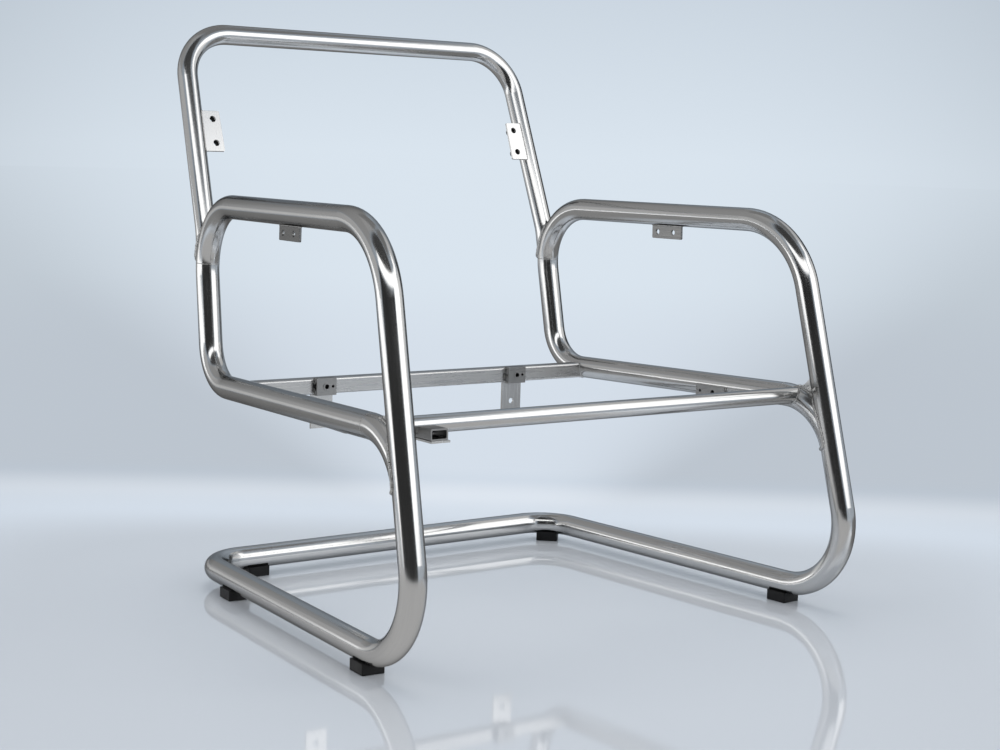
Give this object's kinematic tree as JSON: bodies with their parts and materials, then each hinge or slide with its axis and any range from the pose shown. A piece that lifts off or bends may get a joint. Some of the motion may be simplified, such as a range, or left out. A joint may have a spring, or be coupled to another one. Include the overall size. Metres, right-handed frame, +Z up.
{
  "type": "furniture frame",
  "caption": "Welded steel tube frame of a lounge armchair, with bent sides, a leaning back hoop, seat bars, mounting tabs and black feet.",
  "frame": {"origin": "on the floor, under the centre of the frame's bounding box", "axes": "+Z up, the chair faces -Y, +X is the right side seen from the front"},
  "size_m": [0.7168, 0.7384, 0.7709],
  "materials": {
    "tube_steel": "satin brushed along the tube, bright in stripes",
    "bar_steel": "satin brushed rectangular tube",
    "plate_steel": "duller cut plate with deburred edges",
    "foot_plastic": "black moulded plastic"
  },
  "bodies": {
    "root": {"base_tube": "tube_steel", "left_side_tube": "tube_steel", "right_side_tube": "tube_steel", "left_rail_tube": "tube_steel", "right_rail_tube": "tube_steel", "back_hoop": "tube_steel", "front_bar": "tube_steel", "rear_bar": "bar_steel", "left_gusset": "plate_steel", "right_gusset": "plate_steel", "left_back_tab": "plate_steel", "right_back_tab": "plate_steel", "left_arm_tab": "plate_steel", "right_arm_tab": "plate_steel", "left_rear_bracket": "plate_steel", "right_rear_bracket": "plate_steel", "left_drop_plate": "plate_steel", "right_drop_plate": "plate_steel", "left_rail_plate": "plate_steel", "right_rail_plate": "plate_steel", "socket_tube": "plate_steel", "socket_plate": "plate_steel", "left_front_foot": "foot_plastic", "right_front_foot": "foot_plastic", "left_rear_foot": "foot_plastic", "crossbar_foot": "foot_plastic", "right_corner_foot": "foot_plastic"}
  },
  "joints": []
}
